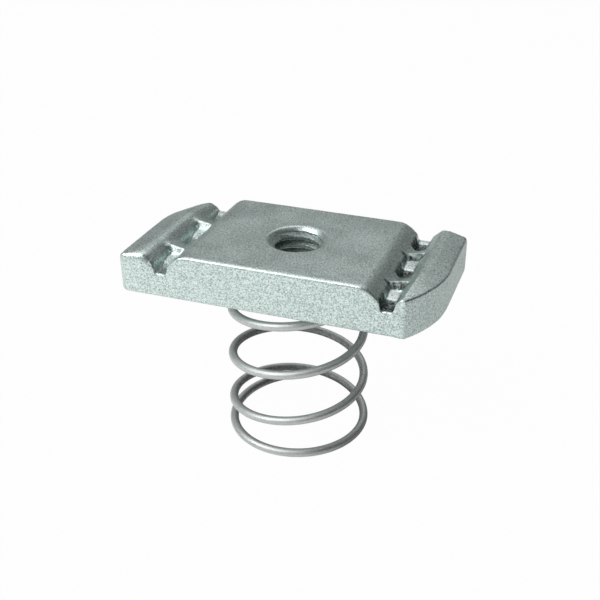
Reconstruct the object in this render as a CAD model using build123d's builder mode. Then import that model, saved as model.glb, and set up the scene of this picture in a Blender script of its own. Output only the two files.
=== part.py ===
from build123d import *
from math import cos, pi, radians, sin, sqrt, tan
import os

# Strut spring nut: a toothed steel nut plate on a right-hand coil spring, which holds it up inside a strut channel.
# Millimetres, +Z up. The origin is on the floor under the tapped hole, where the spring's closed end turn stands.
# X runs along the plate's length, across the channel's slot, and Y runs along the plate's two grooves.

# Spring
wire_diameter = 1.0
coil_inset = 0.125  # from the plate's long sides in to the coil's foot
coil_taper = 0.375  # how much the coil's radius shrinks from its foot to its head
coil_pitch = 6.1
spring_free_length = 18.7
upper_flat_turns = 0.5  # closed turn under the plate
lower_bend_turns = 0.12  # share of a turn in which the wire bends out of a closed turn
upper_bend_turns = 0.34
tip_gap = 0.4  # between the lower tip and the wire that climbs over it
seat_gap = 0.01  # between the upper turn and the plate
lengths_per_turn = 32  # the coil is made of short mitred lengths of wire, which keep its mesh light

# Nut plate
plate_length = 35.0
plate_width = 17.0
plate_thickness = 5.3
swing_inset = 3.0  # how far the two swept corners cut back along the long sides
square_corner_radius = 0.35

# Rolled section: raised middle, a groove near each end, and a crowned lug outside each groove
lug_reach = 4.9  # from the middle of a groove out to the plate's end
groove_depth = 1.85
groove_floor_width = 0.8
groove_wall_angle = 45.0
groove_floor_radius = 0.4
shoulder_radius = 2.1
lug_edge_drop = 0.3  # inner edge of the lug, below the middle
lug_edge_radius = 0.5
lug_crown_drop = 0.3
lug_crown_radius = 6.0
lug_end_drop = 0.65
lug_end_radius = 0.75
foot_radius = 0.6
lug_rim_drop = 0.85  # the lug's edge round a swept corner, below the middle
lug_rim_slope = 15.0

# Teeth in each groove: ribs across it, and between them a punched pocket with a ramp down from the rib behind it
tooth_pitch = 7.0
tooth_offset = -0.7  # the tooth pattern sits off the plate's middle by this much
rib_count = 2
rib_height = 0.8  # crest above the groove's floor, at the groove's middle
rib_slope = 12.0  # the crest rises towards the lug
rib_front_run = 0.4
rib_back_run = 2.4
rib_root = 0.75  # how deep a rib is rooted below the floor
pocket_length = 2.5
pocket_depth = 0.6  # below the groove's floor
pocket_width = 1.2
pocket_draft = 15.0
ramp_drop = 0.25  # far edge of the pocket, below the groove's floor

# Tapped hole
thread_major_diameter = 6.0
thread_lead_in = 0.12

# Staked lips that hold the spring's upper turn against the underside
stake_angles = (60, 137, 214)
stake_width = 1.4
stake_reach = 1.1  # outwards from the wire
stake_overhang = 0.15  # inwards, under the wire
stake_thickness = 0.35
stake_clearance = 0.08

half_length = plate_length / 2
half_width = plate_width / 2
plate_bottom = spring_free_length
plate_top = plate_bottom + plate_thickness
groove_x = half_length - lug_reach
groove_bottom = plate_top - groove_depth
wire_radius = wire_diameter / 2
foot_coil_radius = half_width - coil_inset - wire_radius
head_coil_radius = foot_coil_radius - coil_taper


# %% Rib: one tooth of the right-hand groove, with its crest above y = 0 and rising outwards
rib_inner_x = groove_x - groove_depth
rib_outer_x = groove_x + groove_depth
rib_run = (rib_outer_x - rib_inner_x) / cos(radians(rib_slope))
crest_z = groove_bottom + rib_height - (groove_x - rib_inner_x) * tan(radians(rib_slope))
rib_foot_z = crest_z - rib_height
rib_root_z = rib_foot_z - rib_root

with BuildPart() as rib:
    with BuildSketch(Plane.YZ.offset(rib_inner_x)):
        with BuildLine():
            Polyline(
                (0, crest_z),
                (rib_back_run, rib_foot_z),
                (rib_back_run, rib_root_z),
                (-rib_front_run * (1 + rib_root / rib_height), rib_root_z),
                close=True,
            )
        make_face()
    extrude(amount=rib_run, dir=(cos(radians(rib_slope)), 0, sin(radians(rib_slope))))


# %% Punch: the tool that leaves one pocket and its ramp, with the crest of the rib behind it above y = 0
pocket_near_y = rib_back_run - tooth_pitch
pocket_far_y = pocket_near_y + pocket_length
pocket_bottom_z = groove_bottom - pocket_depth
punch_top_z = plate_top
wall_lean = tan(radians(pocket_draft))
punch_top_width = pocket_width + 2 * (punch_top_z - pocket_bottom_z) * wall_lean

with BuildPart() as punch:
    with BuildSketch(Plane.YZ):
        with BuildLine():
            Polyline(
                (pocket_near_y, punch_top_z),
                (pocket_near_y, groove_bottom),
                (pocket_near_y + pocket_depth * wall_lean, pocket_bottom_z),
                (pocket_far_y - pocket_depth, pocket_bottom_z),
                (pocket_far_y, groove_bottom - ramp_drop),
                (0, groove_bottom),
                (0, punch_top_z),
                close=True,
            )
        make_face()
    extrude(amount=punch_top_width, both=True)
    with BuildSketch(Plane.XZ) as punch_front:
        with BuildLine():
            Polyline(
                (-pocket_width / 2, pocket_bottom_z),
                (pocket_width / 2, pocket_bottom_z),
                (punch_top_width / 2, punch_top_z),
                (-punch_top_width / 2, punch_top_z),
                close=True,
            )
        make_face()
    extrude(amount=tooth_pitch, both=True, mode=Mode.INTERSECT)


# %% Stake: a lip raised from the underside beside the wire and pressed in under it
upper_wire_z = plate_bottom - seat_gap - wire_radius
lip_root_x = head_coil_radius + wire_radius + stake_clearance
lip_tip_x = head_coil_radius + wire_radius - stake_overhang
lip_drop = sqrt((wire_radius + stake_clearance) ** 2 - (wire_radius - stake_overhang) ** 2)

with BuildPart() as stake:
    with BuildSketch(Plane.XZ):
        with BuildLine():
            Polyline(
                (lip_root_x, plate_bottom),
                (lip_root_x, upper_wire_z),
                (lip_tip_x, upper_wire_z - lip_drop),
                (lip_tip_x + stake_thickness, upper_wire_z - lip_drop - stake_thickness / 2),
                (lip_root_x + stake_reach, plate_bottom),
                close=True,
            )
        make_face()
    extrude(amount=stake_width / 2, both=True)


# %% Lug rim: the tool that slopes the lugs down to the swept corners, run on past the plate's long sides
swing_radius = (swing_inset**2 + half_width**2) / (2 * swing_inset)
lug_rim_run = lug_rim_drop / tan(radians(lug_rim_slope))
lug_rim_sweep = 60  # degrees of arc round a swept corner


def rim_end(start, heading, inset):
    """One end of the rim seen from above: straight to the plate's middle, then round the swept corner."""
    square = Line(start, (start[0], 0))
    return JernArc(square @ 1, heading, swing_radius - inset, -lug_rim_sweep)


with BuildPart() as lug_rim:
    for height, inset in ((plate_top - lug_rim_drop, 0), (plate_top, lug_rim_run)):
        right_start = (half_length - inset, plate_width)
        left_start = (inset - half_length, -plate_width)
        with BuildSketch(Plane.XY.offset(height)):
            with BuildLine():
                right_end = rim_end(right_start, (0, -1), inset)
                Line(right_end @ 1, left_start)
                left_end = rim_end(left_start, (0, 1), inset)
                Line(left_end @ 1, right_start)
            make_face()
    loft(ruled=True)
    extrude(lug_rim.faces().sort_by(Axis.Z)[0], amount=plate_thickness)


# %% Nut plate
wall_run = tan(radians(90 - groove_wall_angle))  # run of a groove wall for each millimetre of rise
floor_inner_x = groove_x - groove_floor_width / 2
floor_outer_x = groove_x + groove_floor_width / 2
shoulder_x = floor_inner_x - groove_depth * wall_run
lug_edge_x = floor_outer_x + (groove_depth - lug_edge_drop) * wall_run
lug_crown_x = (lug_edge_x + half_length) / 2
swing_corner_x = half_length - swing_inset
rib_crests = [tooth_offset + (index - (rib_count - 1) / 2) * tooth_pitch for index in range(rib_count)]
pocket_crests = rib_crests + [rib_crests[-1] + tooth_pitch]

with BuildPart() as nut_plate:
    # The bar's rolled section, drawn from the middle outwards and mirrored
    with BuildSketch(Plane.XZ):
        with BuildLine():
            FilletPolyline(
                (0, plate_top),
                (shoulder_x, plate_top),
                (floor_inner_x, groove_bottom),
                (floor_outer_x, groove_bottom),
                (lug_edge_x, plate_top - lug_edge_drop),
                (lug_crown_x, plate_top - lug_crown_drop),
                (half_length, plate_top - lug_end_drop),
                (half_length, plate_bottom),
                (0, plate_bottom),
                radius=(
                    shoulder_radius,
                    groove_floor_radius,
                    groove_floor_radius,
                    lug_edge_radius,
                    lug_crown_radius,
                    lug_end_radius,
                    foot_radius,
                ),
            )
            mirror(about=Plane.YZ)
        make_face()
    extrude(amount=half_width, both=True)

    # Plan: two square corners, and two swept corners that let the plate swing round in the channel
    with BuildSketch(Plane.XY.offset(plate_bottom)) as plan:
        with BuildLine():
            front = Line((-half_length, -half_width), (swing_corner_x, -half_width))
            TangentArc((half_length, 0), front @ 1, tangent=(0, -1))
            Line((half_length, 0), (half_length, half_width))
            back = Line((half_length, half_width), (-swing_corner_x, half_width))
            TangentArc((-half_length, 0), back @ 1, tangent=(0, 1))
            Line((-half_length, 0), (-half_length, -half_width))
        make_face()
        square_corners = [v for v in plan.vertices() if abs(abs(v.X) - half_length) < 0.01 and abs(v.Y) > 1]
        fillet(square_corners, radius=square_corner_radius)
    extrude(amount=plate_thickness, mode=Mode.INTERSECT)
    add(lug_rim.part, mode=Mode.INTERSECT)

    # Teeth, alike in both grooves
    for crest_y in pocket_crests:
        add(punch.part.moved(Location((groove_x, crest_y, 0))), mode=Mode.SUBTRACT)
        add(punch.part.moved(Location((-groove_x, crest_y, 0))), mode=Mode.SUBTRACT)
    for crest_y in rib_crests:
        right_rib = rib.part.moved(Location((0, crest_y, 0)))
        add(right_rib)
        add(right_rib.mirror(Plane.YZ))

    # Tapped hole, at its thread's major diameter
    with Locations((0, 0, plate_top)):
        Hole(radius=thread_major_diameter / 2)
    rims = nut_plate.edges().filter_by(GeomType.CIRCLE)
    chamfer([rim for rim in rims if abs(rim.radius - thread_major_diameter / 2) < 0.01], length=thread_lead_in)

    for angle in stake_angles:
        add(stake.part, rotation=(0, 0, angle))


# %% Coil spring
rise = upper_wire_z - wire_radius
active_turns = rise / coil_pitch + (lower_bend_turns + upper_bend_turns) / 2
tuck_turn = (wire_diameter + tip_gap) / coil_pitch + lower_bend_turns / 2  # where the wire has cleared the tip
lower_end = tuck_turn - 1
upper_end = active_turns + upper_flat_turns


def coil_rise(turn):
    """Height of the wire's centre above the lower closed turn, at a number of turns past its flat stretch."""
    climb_end = active_turns - upper_bend_turns
    into_bend = min(max(turn, 0), lower_bend_turns)
    climbing = min(max(turn, lower_bend_turns), climb_end) - lower_bend_turns
    out_of_bend = min(max(turn - climb_end, 0), upper_bend_turns)
    bent_in = into_bend**2 / (2 * lower_bend_turns)
    bent_out = out_of_bend - out_of_bend**2 / (2 * upper_bend_turns)
    return coil_pitch * (bent_in + climbing + bent_out)


def coil_point(turn):
    """Point on the wire's centre line. The coil is right-handed and narrows evenly as it climbs."""
    angle = 2 * pi * turn
    climbed = coil_rise(turn)
    radius = foot_coil_radius + (head_coil_radius - foot_coil_radius) * climbed / rise
    return (radius * cos(angle), radius * sin(angle), wire_radius + climbed)


wire_turns = upper_end - lower_end
length_count = round(wire_turns * lengths_per_turn)
bends = [coil_point(lower_end + wire_turns * index / length_count) for index in range(length_count + 1)]

with BuildPart() as coil_spring:
    with BuildLine() as wire_path:
        Polyline(*bends)
    with BuildSketch(Plane(origin=wire_path.line @ 0, z_dir=wire_path.line % 0)):
        Circle(wire_radius)
    sweep(path=wire_path.line, transition=Transition.RIGHT)


nut_plate.part.label = "nut_plate"
coil_spring.part.label = "coil_spring"

os.makedirs("parts", exist_ok=True)
export_step(nut_plate.part, "parts/nut_plate.step")
export_step(coil_spring.part, "parts/coil_spring.step")
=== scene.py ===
# %% [markdown]
# # A strut spring nut in zinc-plated steel
# The nut is a short length of rolled steel bar with a tapped hole, standing on a coil spring. In
# use the spring holds the nut up under the lips of a strut channel, and the teeth in its two
# grooves bite into those lips. The CAD frame already has both solids. This file adds what CAD
# leaves out: the soft edges and torn teeth of a pressed and plated piece, the screw thread, the
# finishes, and a plain studio.

# %% Load the frame
import math

import bmesh
import bpy
import numpy as np
from mathutils import Matrix, Vector, noise


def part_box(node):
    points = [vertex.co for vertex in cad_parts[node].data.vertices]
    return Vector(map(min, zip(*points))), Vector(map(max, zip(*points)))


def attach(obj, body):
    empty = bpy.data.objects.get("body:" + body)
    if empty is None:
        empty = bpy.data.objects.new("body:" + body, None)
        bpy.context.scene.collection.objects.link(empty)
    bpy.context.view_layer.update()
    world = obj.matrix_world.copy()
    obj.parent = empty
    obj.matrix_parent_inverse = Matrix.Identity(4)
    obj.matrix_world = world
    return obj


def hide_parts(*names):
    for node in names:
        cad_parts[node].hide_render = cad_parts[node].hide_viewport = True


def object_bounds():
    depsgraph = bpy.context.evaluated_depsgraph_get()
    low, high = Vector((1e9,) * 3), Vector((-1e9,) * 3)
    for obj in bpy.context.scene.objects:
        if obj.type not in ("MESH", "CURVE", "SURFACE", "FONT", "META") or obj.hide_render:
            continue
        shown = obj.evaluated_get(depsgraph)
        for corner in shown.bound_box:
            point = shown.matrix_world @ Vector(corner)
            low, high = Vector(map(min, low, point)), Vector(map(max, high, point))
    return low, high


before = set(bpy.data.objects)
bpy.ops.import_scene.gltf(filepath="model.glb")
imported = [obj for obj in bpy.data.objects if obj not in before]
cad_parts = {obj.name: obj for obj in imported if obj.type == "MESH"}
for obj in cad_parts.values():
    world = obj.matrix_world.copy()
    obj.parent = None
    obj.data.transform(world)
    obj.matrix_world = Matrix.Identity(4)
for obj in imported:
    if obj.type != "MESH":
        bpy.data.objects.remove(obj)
cad_low, cad_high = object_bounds()
MM = 0.001


def rounded_mm(values):
    return [round(value / MM, 2) for value in values]


print("CAD box in mm", rounded_mm((*cad_low, *cad_high)))

# %% [markdown]
# ## Helpers for node materials
# A material is a small network of nodes. One helper adds a node, and others give it its inputs, by
# name or one at a time. Another starts a material, and another a node group, which is a piece of
# network that several materials share.


# %% Nodes, materials and groups
def add_node(tree, kind, **values):
    node = tree.nodes.new(kind)
    for name, value in values.items():
        setattr(node, name, value)
    return node


def plug(tree, socket, source):
    """Gives an input a number or a colour, or joins it to another node's output."""
    if isinstance(source, bpy.types.NodeSocket):
        tree.links.new(source, socket)
    else:
        socket.default_value = source


def feed(tree, node, **sources):
    """Gives a node's inputs what they need, by name."""
    for name, source in sources.items():
        plug(tree, node.inputs[name.replace("_", " ")], source)
    return node


def new_material(name):
    material = bpy.data.materials.new(name)
    material.use_nodes = True
    return material, material.node_tree, material.node_tree.nodes["Principled BSDF"]


def new_group(name, inputs, outputs):
    tree = bpy.data.node_groups.new(name, "ShaderNodeTree")
    for label, (kind, value) in inputs.items():
        socket = tree.interface.new_socket(label, in_out="INPUT", socket_type=kind)
        socket.default_value = value
    for label, kind in outputs.items():
        tree.interface.new_socket(label, in_out="OUTPUT", socket_type=kind)
    return tree, tree.nodes.new("NodeGroupInput").outputs, tree.nodes.new("NodeGroupOutput")


def place_group(tree, group, **values):
    return feed(tree, add_node(tree, "ShaderNodeGroup", node_tree=group), **values)


print("material helpers are ready")

# %% [markdown]
# The next helpers each stand for one node that works something out, and return its output. A
# network then reads like a few lines of arithmetic.


# %% Nodes that work something out
def calculate(tree, operation, *values):
    """One step on numbers. MULTIPLY_ADD is the first times the second, plus the third."""
    node = add_node(tree, "ShaderNodeMath", operation=operation)
    for socket, value in zip(node.inputs, values):
        plug(tree, socket, value)
    return node.outputs[0]


def measure(tree, operation, first, second):
    """One number from two places or directions: their DISTANCE or DOT_PRODUCT."""
    node = add_node(tree, "ShaderNodeVectorMath", operation=operation)
    plug(tree, node.inputs[0], first)
    plug(tree, node.inputs[1], second)
    return node.outputs["Value"]


def times(tree, vector, factor):
    """A place or a colour times a number."""
    node = add_node(tree, "ShaderNodeVectorMath", operation="SCALE")
    return feed(tree, node, Vector=vector, Scale=factor).outputs["Vector"]


def stretch(tree, value, before, after, **settings):
    """Carries a value from the range before to the range after, and stops at its ends."""
    node = add_node(tree, "ShaderNodeMapRange", **settings)
    feed(tree, node, Value=value, From_Min=before[0], From_Max=before[1])
    return feed(tree, node, To_Min=after[0], To_Max=after[1]).outputs["Result"]


def noise_at(tree, place, **settings):
    node = add_node(tree, "ShaderNodeTexNoise")
    return feed(tree, node, Vector=place, **settings).outputs["Fac"]


def own_place(tree):
    """Where a point lies on its own object, in metres."""
    return add_node(tree, "ShaderNodeTexCoord").outputs["Object"]


print("arithmetic helpers are ready")

# %% [markdown]
# ## The plating as a shader group
# Bright zinc on a rolled bar isn't a mirror. Its crystals and the scale pits under it break the
# reflection into a fine sparkle, and the coat is a little duller in some patches than in others.
# Fine noise gives the sparkle through a bump and a small change of shade, and wide noise gives the
# patches. Both the bar and the wire have this skin, with their own grain.

# %% Start the plating group
FLOAT, COLOUR, VECTOR = "NodeSocketFloat", "NodeSocketColor", "NodeSocketVector"
PLAIN_COLOUR = (0.7, 0.7, 0.7, 1)
PLAIN_ROUGHNESS = 0.35  # this and the plain colour hold until a metal gives its own

plating, given, result = new_group(
    "plating_skin",
    {
        "Colour": (COLOUR, PLAIN_COLOUR),
        "Grains per mm": (FLOAT, 6.0),
        "Grain height": (FLOAT, 0.01 * MM),
        "Shade change": (FLOAT, 0.2),
        "Roughness": (FLOAT, PLAIN_ROUGHNESS),
    },
    {"Colour": COLOUR, "Roughness": FLOAT, "Normal": VECTOR},
)
print("plating takes", ", ".join(given.keys()[:-1]))

# %% Grain and patches
PATCHES_PER_MM = 0.35
NOISE_SPAN = (0.3, 0.7)  # most of the wide noise lies between these
PATCH_SHADE, PATCH_DULLNESS = (0.93, 1.04), (-0.05, 0.07)
GRAIN_MIDDLE, GRAIN_SPREAD = 0.5, 4.0  # fine noise keeps near its middle, so it is spread out

place_in_mm = times(plating, own_place(plating), 1 / MM)
grain = noise_at(plating, place_in_mm, Scale=given["Grains per mm"], Detail=2.5, Roughness=0.7)
patches = noise_at(plating, place_in_mm, Scale=PATCHES_PER_MM, Detail=4.0)

off_middle = calculate(plating, "SUBTRACT", grain, GRAIN_MIDDLE)
grain_shade = calculate(plating, "MULTIPLY", off_middle, given["Shade change"])
patch_shade = stretch(plating, patches, NOISE_SPAN, PATCH_SHADE)
shade = calculate(plating, "MULTIPLY_ADD", grain_shade, GRAIN_SPREAD, patch_shade)
patch_dullness = stretch(plating, patches, NOISE_SPAN, PATCH_DULLNESS)
roughness = calculate(plating, "ADD", patch_dullness, given["Roughness"])
bump = add_node(plating, "ShaderNodeBump")
feed(plating, bump, Height=grain, Distance=given["Grain height"])
feed(plating, result, Colour=times(plating, given["Colour"], shade))
feed(plating, result, Roughness=roughness, Normal=bump.outputs["Normal"])
print("plating group has", len(plating.nodes), "nodes")

# %% [markdown]
# ## Torn steel and painted light as a shader group
# The punch drags the steel, so the pockets and the fronts of the teeth are rough and uneven, and
# their darkness is torn steel with painted shade over it. The ramp behind each pocket is pressed
# smooth and gets a painted highlight. The inside of the wire's coil and the thread in the hole get
# painted shade. A mask painted on each mesh says where, and this group turns the mask into a
# darker, rougher and more uneven skin, and below zero into a brighter, smoother one.

# %% Torn steel and painted light group
SHREDS_PER_MM = 3.2
SHRED_SPAN, SHADE_LEFT = (0.36, 0.66), (0.0, 0.45)  # how much of its shade the darkest skin keeps, torn or painted shade
TORN_ROUGHNESS = 0.2  # how much rougher torn steel is

torn_steel_and_painted_light, given, result = new_group(
    "torn_steel_and_painted_light",
    {
        "Colour": (COLOUR, PLAIN_COLOUR),
        "Roughness": (FLOAT, PLAIN_ROUGHNESS),
        "Torn": (FLOAT, 0.0),
    },
    {"Colour": COLOUR, "Roughness": FLOAT},
)
shreds = noise_at(torn_steel_and_painted_light, own_place(torn_steel_and_painted_light), Scale=SHREDS_PER_MM / MM, Detail=3.0)
shade_left = stretch(torn_steel_and_painted_light, shreds, SHRED_SPAN, SHADE_LEFT)
change = calculate(torn_steel_and_painted_light, "SUBTRACT", shade_left, 1.0)
shade = calculate(torn_steel_and_painted_light, "MULTIPLY_ADD", given["Torn"], change, 1.0)
roughness = calculate(torn_steel_and_painted_light, "MULTIPLY_ADD", given["Torn"], TORN_ROUGHNESS, given["Roughness"])
feed(torn_steel_and_painted_light, result, Colour=times(torn_steel_and_painted_light, given["Colour"], shade), Roughness=roughness)
print("torn steel group has", len(torn_steel_and_painted_light.nodes), "nodes")

# %% [markdown]
# ## The two metals
# The bar's zinc is slightly blue and green, as chromated zinc is, with a coarse and lively grain.
# The wire was drawn smooth before it was plated, so its grain is finer and flatter, and it shines
# more softly. Both are the same two groups with other values.


# %% Plate the metals
def plated(name, colour, grains_per_mm, grain_height, shade_change, roughness):
    material, tree, shader = new_material(name)
    skin = place_group(tree, plating, Colour=(*colour, 1), Roughness=roughness)
    feed(tree, skin, Grains_per_mm=grains_per_mm, Grain_height=grain_height * MM)
    feed(tree, skin, Shade_change=shade_change)
    skin = skin.outputs
    # the painted mask holds torn steel, painted shade and painted highlights
    painted = add_node(tree, "ShaderNodeAttribute", attribute_name="torn_and_painted_light").outputs["Fac"]
    skin_with_painted_light = place_group(
        tree, torn_steel_and_painted_light, Colour=skin["Colour"], Roughness=skin["Roughness"], Torn=painted
    ).outputs
    feed(tree, shader, Base_Color=skin_with_painted_light["Colour"], Roughness=skin_with_painted_light["Roughness"])
    feed(tree, shader, Normal=skin["Normal"], Metallic=1.0)
    return material


zinc = plated(
    "zinc_plated_steel",
    colour=(0.67, 0.79, 0.755),
    grains_per_mm=5.8,
    grain_height=0.03,
    shade_change=0.68,
    roughness=0.36,
)
wire_finish = plated(
    "spring_wire",
    colour=(0.68, 0.71, 0.70),
    grains_per_mm=7.0,
    grain_height=0.012,
    shade_change=0.16,
    roughness=0.52,
)
for metal in (zinc, wire_finish):
    print(metal.name, "has", len(metal.node_tree.nodes), "nodes")

# %% [markdown]
# ## The plated nut
# A bar that was rolled hot, cut and tumbled has no sharp edge left, except where the teeth were
# punched last. A bevel modifier would need every edge picked out. It is simpler to remake the CAD
# solid's mesh as fine even cells, whose vertices can then be moved freely.

# %% Remake the nut's mesh in fine cells
CELL = 0.14 * MM


def put_in_scene(name, data):
    """Adds an object that holds a mesh, a lamp or a camera."""
    holder = bpy.data.objects.new(name, data)
    bpy.context.scene.collection.objects.link(holder)
    return holder


def remade(source, name, cell):
    holder = put_in_scene(name, source.data.copy())
    fine = holder.modifiers.new("fine_cells", "REMESH")
    fine.mode = "VOXEL"
    fine.voxel_size = cell
    graph = bpy.context.evaluated_depsgraph_get()
    holder.data = bpy.data.meshes.new_from_object(holder.evaluated_get(graph))
    holder.modifiers.clear()
    return holder


nut = remade(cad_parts["nut_plate"], "plated_nut", CELL)
mesh = nut.data
print("nut has", len(mesh.polygons), "faces")

# %% [markdown]
# Numpy moves all the vertices at once. The next helpers read a mesh into arrays, and turn a
# distance into a mask that fades from 0 to 1, or to 1 and back to 0.


# %% Read the mesh
def read(items, name, width):
    values = np.empty(len(items) * width)
    items.foreach_get(name, values)
    return values.reshape(-1, width)


def ramp(value, zero_at, one_at):
    return np.clip((value - zero_at) / (one_at - zero_at), 0, 1)


def between(value, starts, whole_from, whole_to, ends):
    return ramp(value, starts, whole_from) * ramp(value, ends, whole_to)


points = read(mesh.vertices, "co", 3)
links = read(mesh.edges, "vertices", 2).astype(int)
neighbours = np.bincount(links.ravel(), minlength=len(points))[:, None]
print("nut has", len(points), "vertices and", len(links), "edges")

# %% [markdown]
# ## Where the teeth are torn, with painted shade and highlights
# In each groove a tooth stands up with a steep front, a punched pocket lies before it, and a ramp
# that the punch pressed smooth lies between them. The mask is highest in a pocket and on a front,
# above all in the right-hand groove: torn steel there, with painted shade over it. A ramp and a
# tooth's top edge get less than none, which paints a highlight on them. All lengths are in mm,
# along the groove from a tooth's crest, across the nut from its middle, or up from the floor.

# %% Tooth marks, painted shade and highlights, in mm
CRESTS = (-4.2, 2.8, 9.8)  # the last is past the end, and only its pocket shows
POCKET, POCKET_MOUTH, POCKET_FLOOR = (-4.65, -4.5, -2.3, -2.1), (22.9, 22.6), (21.3, 21.5)
PRESSED, PRESSED_MOUTH = (-2.3, -2.1, -0.55, -0.4), (22.6, 22.3)
FRONT = (-0.6, -0.45, -0.04, 0.04)
TOP_EDGE, TOP_EDGE_WIDTH = 0.12, (0.16, 0.08)
GROOVE_WALLS, GROOVE_MOUTH, NEAR_FACE = (10.9, 11.4, 13.8, 14.3), (23.3, 23.0), (-8.45, -8.2)
LEFT_POCKET_WALL = (-13.4, -12.9)  # the left-hand pockets stop short of the lug
POCKET_TORN_AND_SHADE, FRONT_TORN_AND_SHADE, RAMP_PAINTED_HIGHLIGHT = (1, 0.7), (0.95, 0.1), (0.4, 0.1)  # right and left: torn steel with painted shade, and a painted highlight on ramps
TOP_EDGE_PAINTED_HIGHLIGHT = 0.35


def tooth_mask_with_painted_light(spots):
    x, y, z = spots.T
    right = x > 0
    marks = np.zeros(len(spots))
    for crest in CRESTS:
        beyond = y - crest
        pocket = between(beyond, *POCKET) * ramp(z, *POCKET_MOUTH)
        pocket *= np.where(right, POCKET_TORN_AND_SHADE[0], POCKET_TORN_AND_SHADE[1] * ramp(x, *LEFT_POCKET_WALL))
        front = between(beyond, *FRONT) * np.where(right, *FRONT_TORN_AND_SHADE)
        pressed = between(beyond, *PRESSED) * ramp(z, *PRESSED_MOUTH)
        top_edge = ramp(np.abs(beyond - TOP_EDGE), *TOP_EDGE_WIDTH)
        # pockets and fronts get torn steel with painted shade, ramps and top edges a painted
        # highlight
        marks += np.maximum(pocket, front) - np.where(right, *RAMP_PAINTED_HIGHLIGHT) * pressed
        marks -= TOP_EDGE_PAINTED_HIGHLIGHT * top_edge
    inside = between(np.abs(x), *GROOVE_WALLS) * ramp(z, *GROOVE_MOUTH)
    return marks * inside * ramp(z, *POCKET_FLOOR) * ramp(y, *NEAR_FACE)


teeth_with_painted_light = tooth_mask_with_painted_light(points / MM)
print("tooth marks run from", round(teeth_with_painted_light.min(), 2), "to", round(teeth_with_painted_light.max(), 2))

# %% [markdown]
# ## Softer edges
# Tumbling wears a long outer edge round and leaves a groove's inside alone. The left-hand lug was
# also rolled rounder than the other. Each vertex is drawn towards the middle of its neighbours, in
# many small passes, and a mask for each kind of place says how far. First the vertices near the
# hole's rim are pushed down onto a 45 degree cone, which is the countersink of the thread.

# %% Masks for the edges, in mm
plate_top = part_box("nut_plate")[1][2]
GROOVE_ACROSS, GROOVE_DEPTH = (10.2, 10.8, 13.6, 14.1), (0.35, 0.8, 3.2, 3.6)
LONG_SIDE, SWEPT_CORNER = (7.4, 7.9), (13.2, 13.9)
LEFT_CREST_ACROSS, LEFT_CREST_DEPTH = (13.2, 13.8, 15.9, 16.9), (1.8, 1.2)

across = np.abs(points[:, 0]) / MM
along = np.abs(points[:, 1]) / MM
below_top = (plate_top - points[:, 2]) / MM
in_groove = between(across, *GROOVE_ACROSS) * between(below_top, *GROOVE_DEPTH)
swept_corner = ramp(points[:, 0] * -np.sign(points[:, 1]) / MM, *SWEPT_CORNER)
long_edge = ramp(along, *LONG_SIDE) * (1 - in_groove) * (1 - swept_corner)
left_crest = between(points[:, 0] / -MM, *LEFT_CREST_ACROSS) * ramp(below_top, *LEFT_CREST_DEPTH)
for label, mask in (("grooves", in_groove), ("long edges", long_edge), ("left lug", left_crest)):
    print("vertices in the", label, np.count_nonzero(mask))

# %% Open the hole's rim
HOLE_RADIUS = 3.0
COUNTERSINK = 0.36  # how wide and deep the cone is round the hole's top

from_axis = np.hypot(points[:, 0], points[:, 1]) / MM
cone = plate_top - np.maximum(HOLE_RADIUS + COUNTERSINK - from_axis, 0) * MM
print("rim goes down by up to", round((points[:, 2] - cone).max() / MM, 2), "mm")
points[:, 2] = np.minimum(points[:, 2], cone)


# %% Draw the edges in
def drawn_in(spots, share, passes):
    """Moves each vertex by its share of the way to its neighbours' middle, a number of times."""
    for _ in range(passes):
        total = np.zeros_like(spots)
        for axis in range(3):
            total[:, axis] = np.bincount(links[:, 0], spots[links[:, 1], axis], len(spots))
            total[:, axis] += np.bincount(links[:, 1], spots[links[:, 0], axis], len(spots))
        spots = spots + (total / neighbours - spots) * share[:, None]
    return spots


PULL, GROOVE_PULL_LESS = 0.5, 0.3  # shares of the way in one pass
EVEN_PASSES, EDGE_PASSES, LEFT_CREST_PASSES = 2, 8, 70
sharp = points
points = drawn_in(points, PULL - GROOVE_PULL_LESS * in_groove, EVEN_PASSES)
points = drawn_in(points, PULL * long_edge, EDGE_PASSES)
points = drawn_in(points, PULL * left_crest, LEFT_CREST_PASSES)
print("edges drawn in by up to", round(np.abs(points - sharp).max() / MM, 2), "mm")

# %% [markdown]
# ## Rough teeth
# The punch leaves the torn steel lumpy, and rolling leaves the other faces barely uneven. Both are
# too small for CAD and large enough to break up a highlight, so each vertex moves along its normal
# by a little noise, and never out of the CAD box. The same mask that drives the relief is then
# painted on the mesh, where the material reads it.

# %% Roughen the nut and paint its mask
FINE_LUMPS, FINER_LUMPS, WAVES = 2.2, 4.5, 0.45  # per mm
FINER_SHARE = 0.6
GROOVE_RELIEF, TOOTH_RELIEF, WAVE_RELIEF = 0.02, 0.07, 0.015  # in mm


def noise_of(spots, per_mm):
    return np.array([noise.noise(Vector(spot) * (per_mm / MM)) for spot in spots])


def set_points(mesh, spots):
    mesh.vertices.foreach_set("co", spots.ravel())
    mesh.update()


set_points(mesh, points)
normals = read(mesh.vertex_normals, "vector", 3)
lumps = noise_of(points, FINE_LUMPS) + FINER_SHARE * noise_of(points, FINER_LUMPS)
relief = (GROOVE_RELIEF + TOOTH_RELIEF * teeth_with_painted_light) * lumps * in_groove
relief = (relief + WAVE_RELIEF * noise_of(points, WAVES)) * MM
mesh.polygons.foreach_set("use_smooth", np.ones(len(mesh.polygons), dtype=bool))
set_points(mesh, np.clip(points + normals * relief[:, None], cad_low, cad_high))
# the mask carries torn steel with painted shade, and painted highlights
mesh.attributes.new("torn_and_painted_light", "FLOAT", "POINT").data.foreach_set("value", teeth_with_painted_light)
print("relief is up to", round(np.abs(relief).max() / MM, 3), "mm")

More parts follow.
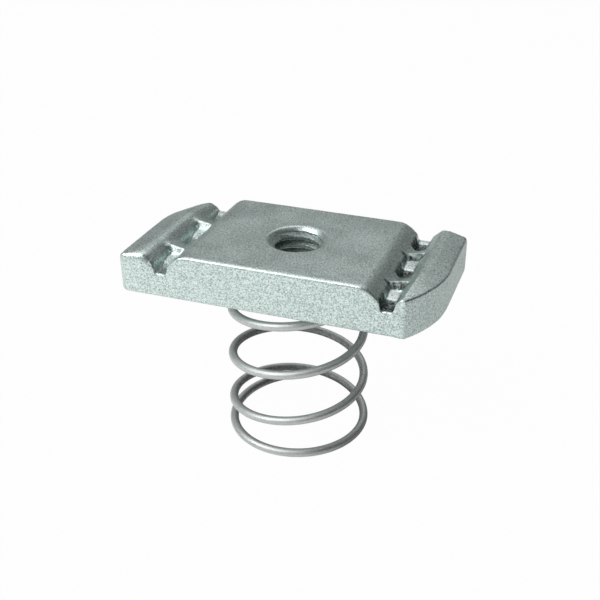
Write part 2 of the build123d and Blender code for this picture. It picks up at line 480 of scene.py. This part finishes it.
# %% Place the nut
mesh.materials.clear()
mesh.materials.append(zinc)
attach(nut, "root")
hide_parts("nut_plate")
print("placed", nut.name)

# %% [markdown]
# ## The spring
# The spring is cold-drawn wire wound on a slightly tapered mandrel, with a closed turn at each end.
# A bevelled curve could show it, but a mesh tube can also be painted: a ring of vertices is carried
# along the coil's centre line, square to it, so the wire stays round everywhere. Both ends are cut
# off and lightly deburred, and the lower tip stands up a little from the floor.

# %% Coil sizes
WIRE = 1.0 * MM
PITCH = 6.1 * MM
FOOT_RADIUS = 7.875 * MM
HEAD_RADIUS = 7.5 * MM
FOOT_BEND, HEAD_BEND = 0.12, 0.34  # turns over which the wire bends out of a closed turn
HEAD_FLAT = 0.5  # turns that lie flat under the nut
TIP_LIFT = 1.75 * MM  # how high the wire has climbed where it passes the lower tip
TIP_SPRUNG = 0.3 * MM  # how far the lower tip stands up
TIP_LEAVES = -0.42  # the turn where it starts to

spring_low, spring_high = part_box("coil_spring")
rise = spring_high[2] - spring_low[2] - WIRE
climb_turns = rise / PITCH + (FOOT_BEND + HEAD_BEND) / 2
foot_end = TIP_LIFT / PITCH + FOOT_BEND / 2 - 1
head_end = climb_turns + HEAD_FLAT
print("coil climbs", round(rise / MM, 2), "mm in", round(head_end - foot_end, 2), "turns")


# %% Coil line
def clamped(value, low, high):
    return min(max(value, low), high)


def about_axis(radius, angle, height):
    """The point at a radius and an angle about the upright axis of the coil and the hole."""
    return Vector((radius * math.cos(angle), radius * math.sin(angle), height))


def coil_rise(turn):
    """How high the wire has climbed. It bends up, climbs evenly, and bends flat again."""
    leaves = climb_turns - HEAD_BEND
    bent_in = clamped(turn, 0, FOOT_BEND) ** 2 / (2 * FOOT_BEND)
    straight = clamped(turn, FOOT_BEND, leaves) - FOOT_BEND
    bend = clamped(turn - leaves, 0, HEAD_BEND)
    return PITCH * (bent_in + straight + bend - bend**2 / (2 * HEAD_BEND))


def coil_point(turn):
    height = coil_rise(turn)
    radius = FOOT_RADIUS + (HEAD_RADIUS - FOOT_RADIUS) * height / rise
    sprung = clamped((TIP_LEAVES - turn) / (TIP_LEAVES - foot_end), 0, 1)
    height += TIP_SPRUNG * sprung**2
    return about_axis(radius, 2 * math.pi * turn, spring_low[2] + WIRE / 2 + height)


print("lower tip is at", rounded_mm(coil_point(foot_end)), "mm")


# %% Rings of vertices
def angles_round(count):
    return [2 * math.pi * k / count for k in range(count)]


def join_rings(form, ring, following):
    """Makes a band of four-sided faces between two rings of vertices."""
    for k in range(len(ring)):
        form.faces.new((ring[k - 1], ring[k], following[k], following[k - 1]))


def made_object(form, name):
    """Turns a finished form into an object in the scene."""
    bmesh.ops.recalc_face_normals(form, faces=form.faces)
    drawn = bpy.data.meshes.new(name)
    form.to_mesh(drawn)
    form.free()
    return put_in_scene(name, drawn)


print("ring helpers are ready")

# %% Wire tube
STEPS_PER_TURN = 96
SIDES = 24
DEBURR = 0.08 * MM
INSIDE_PAINTED_SHADE = 0.55  # the painted shade on the inside of the coil
FACING_IN = 0.7  # skin within about 45 degrees of the axis gets all of it; this is the cosine


def tube(name, line, radius, sides, deburr):
    """A closed tube along a list of points, with its ends slightly rounded off."""
    form = bmesh.new()
    inside_shade = form.verts.layers.float.new("torn_and_painted_light")
    last = len(line) - 1
    angles = angles_round(sides)
    rings = []
    for index, spot in enumerate(line):
        heading = (line[min(index + 1, last)] - line[max(index - 1, 0)]).normalized()
        side = heading.cross(Vector((0, 0, 1))).normalized()
        lift = side.cross(heading)
        reach = radius - deburr if index in (0, last) else radius
        spokes = [side * math.cos(angle) + lift * math.sin(angle) for angle in angles]
        rings.append([form.verts.new(spot + spoke * reach) for spoke in spokes])
        for vertex, angle in zip(rings[-1], angles):
            # painted shade on the side that faces the coil's axis
            vertex[inside_shade] = INSIDE_PAINTED_SHADE * clamped(-math.cos(angle) / FACING_IN, 0, 1)
    for ring, following in zip(rings, rings[1:]):
        join_rings(form, ring, following)
    form.faces.new(rings[0])
    form.faces.new(rings[-1][::-1])
    for face in form.faces:
        face.smooth = len(face.verts) == 4
    return made_object(form, name)


print("wire has", SIDES, "sides and", STEPS_PER_TURN, "rings a turn")

# %% Draw the spring
count = round((head_end - foot_end) * STEPS_PER_TURN)
turns = [foot_end + (head_end - foot_end) * k / count for k in range(count + 1)]
near_end = DEBURR / (2 * math.pi * FOOT_RADIUS)
turns = [turns[0], turns[0] + near_end, *turns[1:-1], turns[-1] - near_end, turns[-1]]
wire = tube("spring_wire", [coil_point(turn) for turn in turns], WIRE / 2, SIDES, DEBURR)
wire.data.materials.append(wire_finish)
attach(wire, "root")
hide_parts("coil_spring")
print("wire has", len(wire.data.polygons), "faces")

# %% [markdown]
# ## The screw thread
# The hole takes an M6 screw. Its thread climbs 1 mm a turn between a 6 mm groove and a 4.9 mm
# crest, and a 45 degree countersink opens it at both faces. The CAD hole has the groove's size, so
# the thread is a sleeve inside it. Its inner wall is a grid of rows and columns, and each vertex
# takes whichever is wider at its place: the thread's outline, which shifts with the angle, or the
# countersink's cone.

# %% Thread outline, in mm
THREAD_PITCH = 1.0
GROOVE_RADIUS, CREST_RADIUS = HOLE_RADIUS, 2.46
CREST_FLAT, GROOVE_FLAT = 0.25, 0.125  # shares of the pitch


def thread_radius(turn):
    """The radius at a share of one pitch: a flat crest, a flank, a narrow groove, a flank."""
    from_crest = abs((turn + 0.5) % 1 - 0.5) - CREST_FLAT / 2
    flank = 0.5 - (CREST_FLAT + GROOVE_FLAT) / 2
    return CREST_RADIUS + (GROOVE_RADIUS - CREST_RADIUS) * clamped(from_crest / flank, 0, 1)


print("thread radii in mm", [round(thread_radius(eighth / 8), 2) for eighth in range(5)])

# %% Thread sleeve
COLUMNS, ROW = 120, 0.05
SLEEVE_WALL = 0.04
THREAD_PAINTED_SHADE = 0.6  # painted shade on the thread inside the hole, but not on its countersink
PLATE_BOTTOM = 18.7 * MM  # the flat underside; the staked lips reach lower


def thread_sleeve(name, bottom, top):
    form = bmesh.new()
    thread_shade = form.verts.layers.float.new("torn_and_painted_light")
    angles = angles_round(COLUMNS)
    length = top - bottom - 2 * COUNTERSINK
    rows = round(length / ROW)
    heights = [bottom + COUNTERSINK + length * k / rows for k in range(rows + 1)]
    rings = []
    for height in heights:
        cone = GROOVE_RADIUS - min(height - heights[0], heights[-1] - height)
        climbed = (height - bottom) / THREAD_PITCH
        radii = [max(cone, thread_radius(climbed - k / COLUMNS)) for k in range(COLUMNS)]
        ring = [form.verts.new(about_axis(r, a, height) * MM) for r, a in zip(radii, angles)]
        for vertex, radius in zip(ring, radii):
            # painted shade deep in the hole, on the thread's rows only
            vertex[thread_shade] = THREAD_PAINTED_SHADE if radius > cone else 0
        rings.append(ring)
    outer = GROOVE_RADIUS + SLEEVE_WALL
    for height in (heights[-1], heights[0]):
        rings.append([form.verts.new(about_axis(outer, a, height) * MM) for a in angles])
    for ring, following in zip(rings, rings[1:] + rings[:1]):
        join_rings(form, ring, following)
    return made_object(form, name)


print("thread has", COLUMNS, "columns a turn and a row each", ROW, "mm")

# %% Cut the thread
thread = thread_sleeve("screw_thread", PLATE_BOTTOM / MM, plate_top / MM)
thread.data.materials.append(zinc)
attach(thread, "root")
print("thread has", len(thread.data.polygons), "faces")

# %% [markdown]
# ## The floor
# Plated metal shows its surroundings more than its own colour, so the studio is the look. The
# paper on the floor has a middle grey of its own, which keeps the light that it throws back at the
# nut low. The camera sees it as almost plain white. In the metal its white is painted light: it is
# strongest to the front left, falls off to the back right, and a painted shadow of the nut leaves
# it nearly gone under the nut's right half. A Light Path node tells these rays apart.


# %% What each ray sees
def ray_share(tree, camera, glossy):
    """How much plain white a ray sees: one share for the camera, and one for metal and glass."""
    ray = add_node(tree, "ShaderNodeLightPath").outputs
    mirrored = calculate(tree, "MAXIMUM", ray["Is Glossy Ray"], ray["Is Transmission Ray"])
    part = calculate(tree, "MULTIPLY", mirrored, glossy)
    return calculate(tree, "MULTIPLY_ADD", ray["Is Camera Ray"], camera, part)


def end_with_mix(tree, output, share, own, white):
    """Ends a network with its own shader and plain white, mixed by a share."""
    mixed = add_node(tree, "ShaderNodeMixShader")
    for socket, source in zip(mixed.inputs, (share, own.outputs[0], white.outputs[0])):
        plug(tree, socket, source)
    feed(tree, tree.nodes[output], Surface=mixed.outputs[0])


print("ray helpers are ready")

# %% Floor
FLOOR_WIDTH = 6
PAPER_GREY = (0.5, 0.5, 0.5, 1)
CAMERA_SEES_PAPER = 0.98  # the rest keeps a trace of the nut's shadow
# What metal sees is painted light that falls off over a distance, in metres, with a painted shadow
# round a middle
BACK_RIGHT, FALLOFF_OVER, FALLOFF = (0.75, 0.66, 0), (-0.05, 0.035), (0.97, 0.38)
SHADE_MIDDLE, SHADE_OVER, SHADE = (0.010, 0.008, 0), (0.012, 0.019), (0.05, 1.0)

bpy.ops.mesh.primitive_plane_add(size=FLOOR_WIDTH)
floor = bpy.context.object
floor.name = "floor"
paper, tree, shader = new_material("white_paper")
feed(tree, shader, Base_Color=PAPER_GREY, Roughness=0.9, Specular_IOR_Level=0.0)

spot = own_place(tree)
# painted light and a painted shadow of the nut, seen only in metal
falloff = stretch(tree, measure(tree, "DOT_PRODUCT", spot, BACK_RIGHT), FALLOFF_OVER, FALLOFF)
shade = stretch(tree, measure(tree, "DISTANCE", spot, SHADE_MIDDLE), SHADE_OVER, SHADE)
metal_sees_paper = calculate(tree, "MULTIPLY", falloff, shade)
share = ray_share(tree, CAMERA_SEES_PAPER, metal_sees_paper)
end_with_mix(tree, "Material Output", share, shader, add_node(tree, "ShaderNodeEmission"))
floor.data.materials.append(paper)
print("floor is", FLOOR_WIDTH, "m wide")

# %% [markdown]
# ## The room
# The camera sees plain white behind the nut. For the metal the room is dark, with a soft grey glow
# half way up at the back left. The nut's flat top mirrors that part of the room, so the glow sets
# how bright the top is.

# %% World
GLOW_TOWARDS = Vector((-0.45, 0.70, 0.52)).normalized()
GLOW_OVER, ROOM_GREY = (0.0, 0.9), (0.02, 0.24)
CAMERA_SEES_WHITE, METAL_SEES_WHITE = 1.0, 0.03

world = bpy.data.worlds.new("studio")
bpy.context.scene.world = world
world.use_nodes = True
tree = world.node_tree
towards = add_node(tree, "ShaderNodeTexCoord").outputs["Generated"]
near_glow = measure(tree, "DOT_PRODUCT", towards, GLOW_TOWARDS)
grey = stretch(tree, near_glow, GLOW_OVER, ROOM_GREY, interpolation_type="SMOOTHSTEP")
room = feed(tree, tree.nodes["Background"], Color=grey)
white = feed(tree, add_node(tree, "ShaderNodeBackground"), Color=(1, 1, 1, 1))
end_with_mix(
    tree, "World Output", ray_share(tree, CAMERA_SEES_WHITE, METAL_SEES_WHITE), room, white
)
print("room is grey from", ROOM_GREY[0], "to", ROOM_GREY[1])

# %% [markdown]
# ## The lamps
# One large soft lamp stands to the front left. It lights the nut's near side, and the front of the
# coil. A weaker panel hangs nearly overhead, a little behind the nut, and lights the shoulders and
# the grooves. A soft lamp is an area lamp that is wide for its distance.


# %% Lamps
def direction(azimuth, elevation):
    """A direction from the nut, in degrees right of the front and up from level."""
    azimuth, elevation = math.radians(azimuth), math.radians(elevation)
    level = math.cos(elevation)
    return Vector((math.sin(azimuth) * level, -math.cos(azimuth) * level, math.sin(elevation)))


AIM = Vector((0, 0, 20 * MM))  # the lamps face this point, inside the nut plate


def softbox(name, azimuth, elevation, distance, width, glow):
    """A square lamp that faces the nut. Glow is how bright the lamp itself looks."""
    lamp = bpy.data.lights.new(name, "AREA")
    lamp.size = width
    lamp.energy = glow * math.pi * width**2
    holder = put_in_scene(name, lamp)
    towards = direction(azimuth, elevation)
    holder.location = towards * distance + AIM
    holder.rotation_euler = towards.to_track_quat("Z", "Y").to_euler()
    return holder


key = softbox("key_lamp", azimuth=-42, elevation=43, distance=0.40, width=0.36, glow=3.3)
panel = softbox("top_panel", azimuth=-160, elevation=66, distance=0.38, width=0.32, glow=0.85)
for lamp in (key, panel):
    print(lamp.name, "stands at", rounded_mm(lamp.location), "mm")

# %% [markdown]
# ## The camera
# The camera stands a little to the right of the nut's middle and looks down on it, from a hand's
# breadth away. Its shift moves the picture sideways without turning the camera.

# %% Camera
CAMERA_AZIMUTH, CAMERA_ELEVATION, CAMERA_ROLL = 17.368, 28.907, 0.897
CAMERA_PLACE = Vector((32.032, -85.205, 66.532)) * MM

back = direction(CAMERA_AZIMUTH, CAMERA_ELEVATION)
azimuth, roll = math.radians(CAMERA_AZIMUTH), math.radians(CAMERA_ROLL)
right = Vector((math.cos(azimuth), math.sin(azimuth), 0))
up = back.cross(right)
turned_right = right * math.cos(roll) + up * math.sin(roll)
turned_up = up * math.cos(roll) - right * math.sin(roll)
lens = bpy.data.cameras.new("camera")
lens.lens = 54.47
lens.sensor_width = 36
lens.shift_x = -0.0716
lens.clip_start = 5 * MM
camera = put_in_scene("camera", lens)
camera.matrix_world = Matrix((turned_right, turned_up, back)).transposed().to_4x4()
camera.matrix_world.translation = CAMERA_PLACE
bpy.context.scene.camera = camera
bpy.context.scene.view_settings.view_transform = "Standard"
print("camera is", round(CAMERA_PLACE.length / MM), "mm from the middle of the floor")
